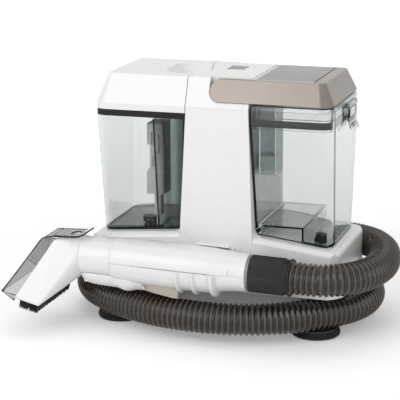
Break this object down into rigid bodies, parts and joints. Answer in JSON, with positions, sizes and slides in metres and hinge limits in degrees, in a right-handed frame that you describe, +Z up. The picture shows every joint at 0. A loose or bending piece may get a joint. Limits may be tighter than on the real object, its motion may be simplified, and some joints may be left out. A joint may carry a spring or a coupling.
{
  "type": "spot extractor",
  "caption": "Portable spot cleaner for carpet and upholstery: base with two clear side tanks round a column, folding carry handle, parked hand tool with suction nozzle and ribbed hose",
  "frame": {"origin": "on the floor under the middle of the whole outline, hose left out", "axes": "+X to the object's right with the dirty tank, +Y to the back, +Z up; the hand tool lies along the front with its nozzle to the left"},
  "size_m": [0.417, 0.2613, 0.28],
  "materials": {
    "white_shell": "gloss moulded",
    "grey_panel": "fine satin",
    "bronze_handle": "satin metallic paint on a moulding",
    "smoky_clear": "clear smoke tinted",
    "black_rubber": "matte",
    "dark_plastic": "moulded",
    "black_plastic": "fine ribbed",
    "steel": "plain",
    "greige_plastic": "satin",
    "inner_plastic": "moulded",
    "circuit_board": "coated",
    "hose_plastic": "flexible, satin"
  },
  "bodies": {
    "root": {"main_housing": "white_shell", "core_tub": "white_shell", "bottom_plate": "dark_plastic", "rear_cover": "white_shell", "top_cap": "white_shell", "roof_panel": "grey_panel", "handle_pins": "steel", "wand_clip": "white_shell", "wand_cradle": "white_shell", "hose_port": "white_shell", "cord_inlet": "dark_plastic", "foot_front_left": "black_rubber", "foot_front_right": "black_rubber", "foot_rear_left": "black_rubber", "foot_rear_right": "black_rubber", "base_screws": "steel", "motor_mount": "dark_plastic", "vacuum_motor": "steel", "fan_shroud": "dark_plastic", "air_duct": "dark_plastic", "water_pump": "dark_plastic", "control_board": "circuit_board", "wand_upper_shell": "white_shell", "wand_lower_shell": "white_shell", "suction_tube": "inner_plastic", "spray_valve": "steel", "trigger_pin": "steel", "hose": "hose_plastic"},
    "fan": {"fan_impeller": "inner_plastic"},
    "handle": {"carry_handle": "bronze_handle"},
    "button": {"power_button": "grey_panel"},
    "clean_body": {"clean_tank": "smoky_clear", "tank_seal": "black_rubber", "intake_bracket": "greige_plastic", "intake_filter": "dark_plastic"},
    "valve": {"outlet_valve": "black_rubber"},
    "clean_lid": {"clean_tank_lid": "white_shell"},
    "dirty_body": {"dirty_tank": "smoky_clear", "dirty_tank_lid": "smoky_clear", "lid_gasket": "black_rubber", "separator_duct": "smoky_clear", "drain_plug": "black_rubber", "latch_pin": "steel"},
    "float": {"float_cup": "inner_plastic"},
    "latch": {"lid_latch": "smoky_clear"},
    "squeeze": {"trigger": "greige_plastic"},
    "cuff": {"swivel_cuff": "black_plastic"},
    "nozzle": {"nozzle_body": "white_shell", "nozzle_brush": "black_plastic", "spray_tip": "dark_plastic"},
    "clear_cover": {"nozzle_cover": "smoky_clear"}
  },
  "joints": [
    {"name": "fan_spin", "type": "hinge", "parent": "root", "child": "fan", "pos_m": [0.044, 0.017, 0.1], "axis": [0, 0, 1], "continuous": true},
    {"name": "handle_swing", "type": "hinge", "parent": "root", "child": "handle", "pos_m": [0.047, 0.017, 0.267], "axis": [0, -1, 0], "range_deg": [0, 90]},
    {"name": "button_press", "type": "slide", "parent": "root", "child": "button", "axis": [0, 0, -1], "range_m": [0, 0.002], "stiffness_N_per_m": 400, "springref_m": -0.001},
    {"name": "clean_tank_lift", "type": "slide", "parent": "root", "child": "clean_body", "axis": [0, 0, 1], "range_m": [0, 0.16]},
    {"name": "valve_open", "type": "slide", "parent": "clean_body", "child": "valve", "axis": [0, 0, 1], "range_m": [0, 0.002], "stiffness_N_per_m": 150, "springref_m": -0.001},
    {"name": "clean_lid_lift", "type": "slide", "parent": "clean_body", "child": "clean_lid", "axis": [0, 0, 1], "range_m": [0, 0.05]},
    {"name": "dirty_tank_slide", "type": "slide", "parent": "root", "child": "dirty_body", "axis": [0.9925, 0, -0.1219], "range_m": [0, 0.14]},
    {"name": "float_rise", "type": "slide", "parent": "dirty_body", "child": "float", "axis": [0, 0, 1], "range_m": [0, 0.018]},
    {"name": "latch_swing", "type": "hinge", "parent": "dirty_body", "child": "latch", "pos_m": [0.1738, 0.029, 0.2475], "axis": [0, -1, 0], "range_deg": [0, 75]},
    {"name": "trigger_squeeze", "type": "hinge", "parent": "root", "child": "squeeze", "pos_m": [-0.02367, -0.078, 0.05747], "axis": [0, -1, 0], "range_deg": [0, 5], "stiffness_Nm_per_rad": 1.2, "springref_deg": -5.73},
    {"name": "cuff_turn", "type": "hinge", "parent": "root", "child": "cuff", "pos_m": [0.038, -0.078, 0.0797], "axis": [0.9996, 0, -0.0288], "continuous": true},
    {"name": "nozzle_pull", "type": "slide", "parent": "root", "child": "nozzle", "axis": [-0.9996, 0, 0.0288], "range_m": [0, 0.03]},
    {"name": "cover_pull", "type": "slide", "parent": "nozzle", "child": "clear_cover", "axis": [-0.7413, 0, 0.6712], "range_m": [0, 0.03]}
  ]
}
